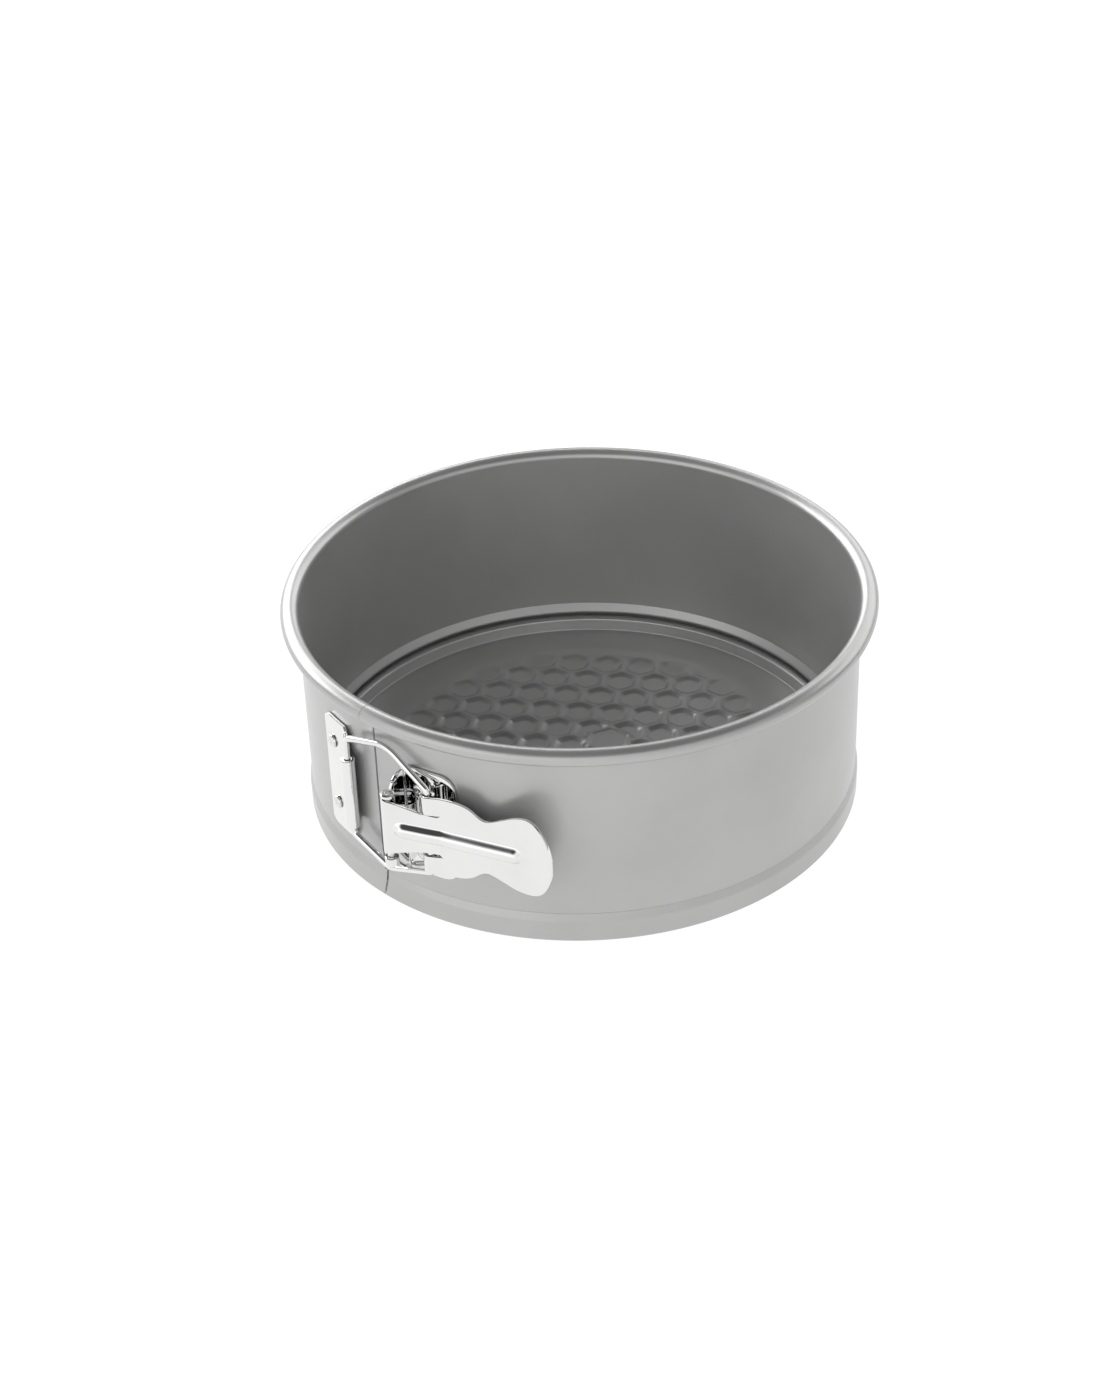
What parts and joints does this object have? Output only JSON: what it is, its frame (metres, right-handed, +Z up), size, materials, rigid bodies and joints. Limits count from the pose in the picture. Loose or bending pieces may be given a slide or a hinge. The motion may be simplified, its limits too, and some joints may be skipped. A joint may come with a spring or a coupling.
{
  "type": "springform pan",
  "caption": "Round cake pan: a split band with a rolled rim, drawn shut by an over-centre toggle latch around a removable dished base plate.",
  "frame": {"origin": "middle of the outline box on the ground plane; the pan's axis stands 2.5 mm behind it, by half of what the latch adds at the front", "axes": "+Z up along the pan's axis; the split and the latch face -Y; the lever points to +X when it is closed"},
  "size_m": [0.19, 0.195, 0.0721],
  "materials": {
    "band": "silver-grey metallic non-stick coating on steel, satin with a fine sparkle",
    "base": "silver-grey metallic non-stick coating on steel, satin, embossed with a honeycomb",
    "latch": "bright chrome plate on stamped and bent steel",
    "fasteners": "bare steel, lightly polished"
  },
  "bodies": {
    "band_back": {"band_back": "band"},
    "band_rear_right": {"band_rear_right": "band"},
    "band_front_right": {"band_front_right": "band", "fulcrum_bracket": "latch", "hinge_pin": "fasteners", "fulcrum_rivet_lower": "fasteners", "fulcrum_rivet_upper": "fasteners"},
    "band_rear_left": {"band_rear_left": "band"},
    "band_front_left": {"band_front_left": "band", "bail_bracket": "latch", "bail_rivet_lower": "fasteners", "bail_rivet_upper": "fasteners"},
    "lever": {"lever": "latch"},
    "bail": {"bail_wire": "latch"},
    "base": {"base_plate": "base"}
  },
  "joints": [
    {"name": "flex_rear_right", "type": "hinge", "parent": "band_back", "child": "band_rear_right", "pos_m": [0.05255, 0.07483, 0.0365], "axis": [0, 0, 1], "range_deg": [0, 1.88]},
    {"name": "flex_front_right", "type": "hinge", "parent": "band_rear_right", "child": "band_front_right", "pos_m": [0.08502, -0.02513, 0.0365], "axis": [0, 0, 1], "range_deg": [0, 1.88]},
    {"name": "flex_rear_left", "type": "hinge", "parent": "band_back", "child": "band_rear_left", "pos_m": [-0.05255, 0.07483, 0.0365], "axis": [0, 0, -1], "range_deg": [0, 1.88]},
    {"name": "flex_front_left", "type": "hinge", "parent": "band_rear_left", "child": "band_front_left", "pos_m": [-0.08502, -0.02513, 0.0365], "axis": [0, 0, -1], "range_deg": [0, 1.88]},
    {"name": "lever_pivot", "type": "hinge", "parent": "band_front_right", "child": "lever", "pos_m": [0.01336, -0.09525, 0.0365], "axis": [0, 0, -1], "range_deg": [0, 170], "deforming": ["bail_wire"]},
    {"name": "bail_pivot", "type": "hinge", "parent": "lever", "child": "bail", "pos_m": [0.02356, -0.08855, 0.0365], "axis": [0, 0, 1], "range_deg": [0, 139]},
    {"name": "base_lift", "type": "slide", "parent": "band_back", "child": "base", "axis": [0, 0, 1], "range_m": [0, 0.09]}
  ],
  "couplings": [
    {"joint": "flex_rear_right", "follows": "lever_pivot", "ratio": 0.011059},
    {"joint": "flex_front_right", "follows": "lever_pivot", "ratio": 0.011059},
    {"joint": "flex_rear_left", "follows": "lever_pivot", "ratio": 0.011059},
    {"joint": "flex_front_left", "follows": "lever_pivot", "ratio": 0.011059},
    {"joint": "bail_pivot", "follows": "lever_pivot", "ratio": 0.81743}
  ]
}
